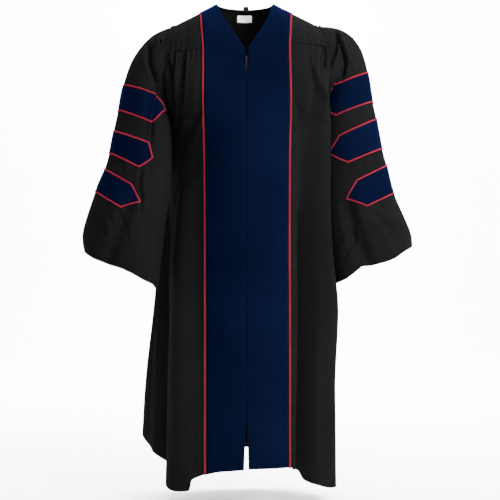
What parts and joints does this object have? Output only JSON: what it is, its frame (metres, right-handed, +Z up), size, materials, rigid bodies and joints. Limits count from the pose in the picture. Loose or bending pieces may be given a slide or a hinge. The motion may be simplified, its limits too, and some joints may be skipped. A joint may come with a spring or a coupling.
{
  "type": "graduation gown",
  "caption": "Open-front doctoral gown, worn and hollow, with wide bell sleeves, velvet front panels and sleeve bars, red piping and a short front zip pull.",
  "frame": {"origin": "middle of the neck opening, level with the two neck points", "axes": "+X to the wearer's left, -Y out of the front, +Z up; metres"},
  "size_m": [0.926, 0.3559, 1.3661],
  "materials": {
    "black_poplin": "matt, fine plain weave",
    "navy_velvet": "short dense pile",
    "red_satin": "satin",
    "white_label": "woven, bare",
    "black_tape": "woven tape",
    "grey_metal": "plated, slightly worn"
  },
  "bodies": {
    "gown": {"back": "black_poplin", "yoke_back": "black_poplin", "front_left": "black_poplin", "front_right": "black_poplin", "yoke_front_left": "black_poplin", "yoke_front_right": "black_poplin", "sleeve_left": "black_poplin", "sleeve_right": "black_poplin", "velvet_left": "navy_velvet", "velvet_right": "navy_velvet", "bar_left_1": "navy_velvet", "bar_left_2": "navy_velvet", "bar_left_3": "navy_velvet", "bar_right_1": "navy_velvet", "bar_right_2": "navy_velvet", "bar_right_3": "navy_velvet", "piping_left": "red_satin", "piping_right": "red_satin", "bar_piping_left_1": "red_satin", "bar_piping_left_2": "red_satin", "bar_piping_left_3": "red_satin", "bar_piping_right_1": "red_satin", "bar_piping_right_2": "red_satin", "bar_piping_right_3": "red_satin", "neck_label": "white_label", "hang_loop": "black_tape", "zip_tape": "black_tape", "zip_slider": "grey_metal"},
    "pull_tab": {"zip_pull": "grey_metal"}
  },
  "joints": [
    {"name": "pull_tab_hinge", "type": "hinge", "parent": "gown", "child": "pull_tab", "pos_m": [0.0023, -0.1452, -0.175], "axis": [-1, 0, 0], "range_deg": [0, 150]}
  ]
}
